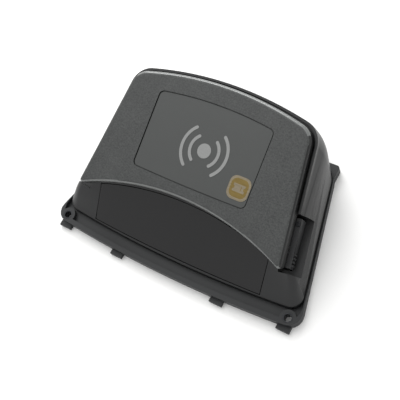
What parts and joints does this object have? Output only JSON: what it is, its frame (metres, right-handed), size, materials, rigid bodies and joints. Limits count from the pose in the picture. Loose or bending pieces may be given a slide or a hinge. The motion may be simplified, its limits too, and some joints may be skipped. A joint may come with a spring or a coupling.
{
  "type": "ticket validator",
  "caption": "Panel-mounted ticket validator head with a sloping contactless tap face, an arched scan window, side release latches and a screw flange.",
  "frame": {"origin": "on the mounting plane (the flange's back face), on the centre line, midway along the unit", "axes": "+Z out of the panel towards the passenger, +Y up the panel towards the thick end, +X to the passenger's right"},
  "size_m": [0.1358, 0.0884, 0.0441],
  "materials": {
    "cover_abs": "grained charcoal ABS",
    "housing_abs": "satin black ABS",
    "flange_abs": "satin black ABS",
    "label_film": "smooth grey polycarbonate film",
    "symbol_ink": "pale grey screen-print ink",
    "gold_foil": "satin gold foil",
    "gold_field": "brushed gold foil",
    "smoked_window": "smoked acrylic, gloss",
    "black_rubber": "moulded EPDM",
    "latch_pom": "satin acetal",
    "steel": "plain steel",
    "galvanised": "galvanised sheet",
    "pcb_green": "solder mask on glass laminate",
    "copper": "etched copper",
    "ferrite": "ferrite film",
    "black_part": "moulded black component plastic",
    "white_part": "natural nylon",
    "green_part": "green terminal nylon",
    "flex_amber": "polyimide flex",
    "lens_glass": "coated lens",
    "plunger_pom": "natural acetal"
  },
  "bodies": {
    "root": {"mounting_flange": "flange_abs", "lug_sleeves": "steel", "panel_gasket": "black_rubber", "back_plate": "galvanised", "lower_housing": "housing_abs", "front_cover": "cover_abs", "cover_gasket": "black_rubber", "target_label": "label_film", "wave_symbol": "symbol_ink", "badge_ring": "gold_foil", "badge_field": "gold_field", "scan_window": "smoked_window", "window_gasket": "black_rubber", "latch_pin_right": "steel", "latch_pin_left": "steel", "latch_spring_right": "steel", "latch_spring_left": "steel", "cover_screws": "steel", "main_board": "pcb_green", "board_screws": "steel", "processor_can": "steel", "sam_holder": "black_part", "sam_card": "white_part", "buzzer": "black_part", "data_socket": "white_part", "power_terminal": "green_part", "antenna_board": "pcb_green", "antenna_coil": "copper", "ferrite_sheet": "ferrite", "flex_cable": "flex_amber", "imager_bracket": "galvanised", "imager_body": "black_part", "imager_lens": "lens_glass", "led_bars": "white_part", "bracket_screws": "steel", "tamper_switch": "black_part", "tamper_spring": "steel"},
    "latch_right": {"latch_right": "latch_pom"},
    "latch_left": {"latch_left": "latch_pom"},
    "tamper_plunger": {"tamper_plunger": "plunger_pom"}
  },
  "joints": [
    {"name": "latch_right_press", "type": "hinge", "parent": "root", "child": "latch_right", "pos_m": [0.05308, -0.00043, 0.01589], "axis": [0.032, -0.2054, 0.9781], "range_deg": [-6, 0], "stiffness_Nm_per_rad": 0.1, "springref_deg": 5.73, "deforming": ["latch_spring_right"]},
    {"name": "latch_left_press", "type": "hinge", "parent": "root", "child": "latch_left", "pos_m": [-0.05308, -0.00043, 0.01589], "axis": [-0.032, -0.2054, 0.9781], "range_deg": [0, 6], "stiffness_Nm_per_rad": 0.1, "springref_deg": -5.73, "deforming": ["latch_spring_left"]},
    {"name": "tamper_press", "type": "slide", "parent": "root", "child": "tamper_plunger", "axis": [0, 0, 1], "range_m": [0, 0.0012], "stiffness_N_per_m": 300, "deforming": ["tamper_spring"]}
  ]
}
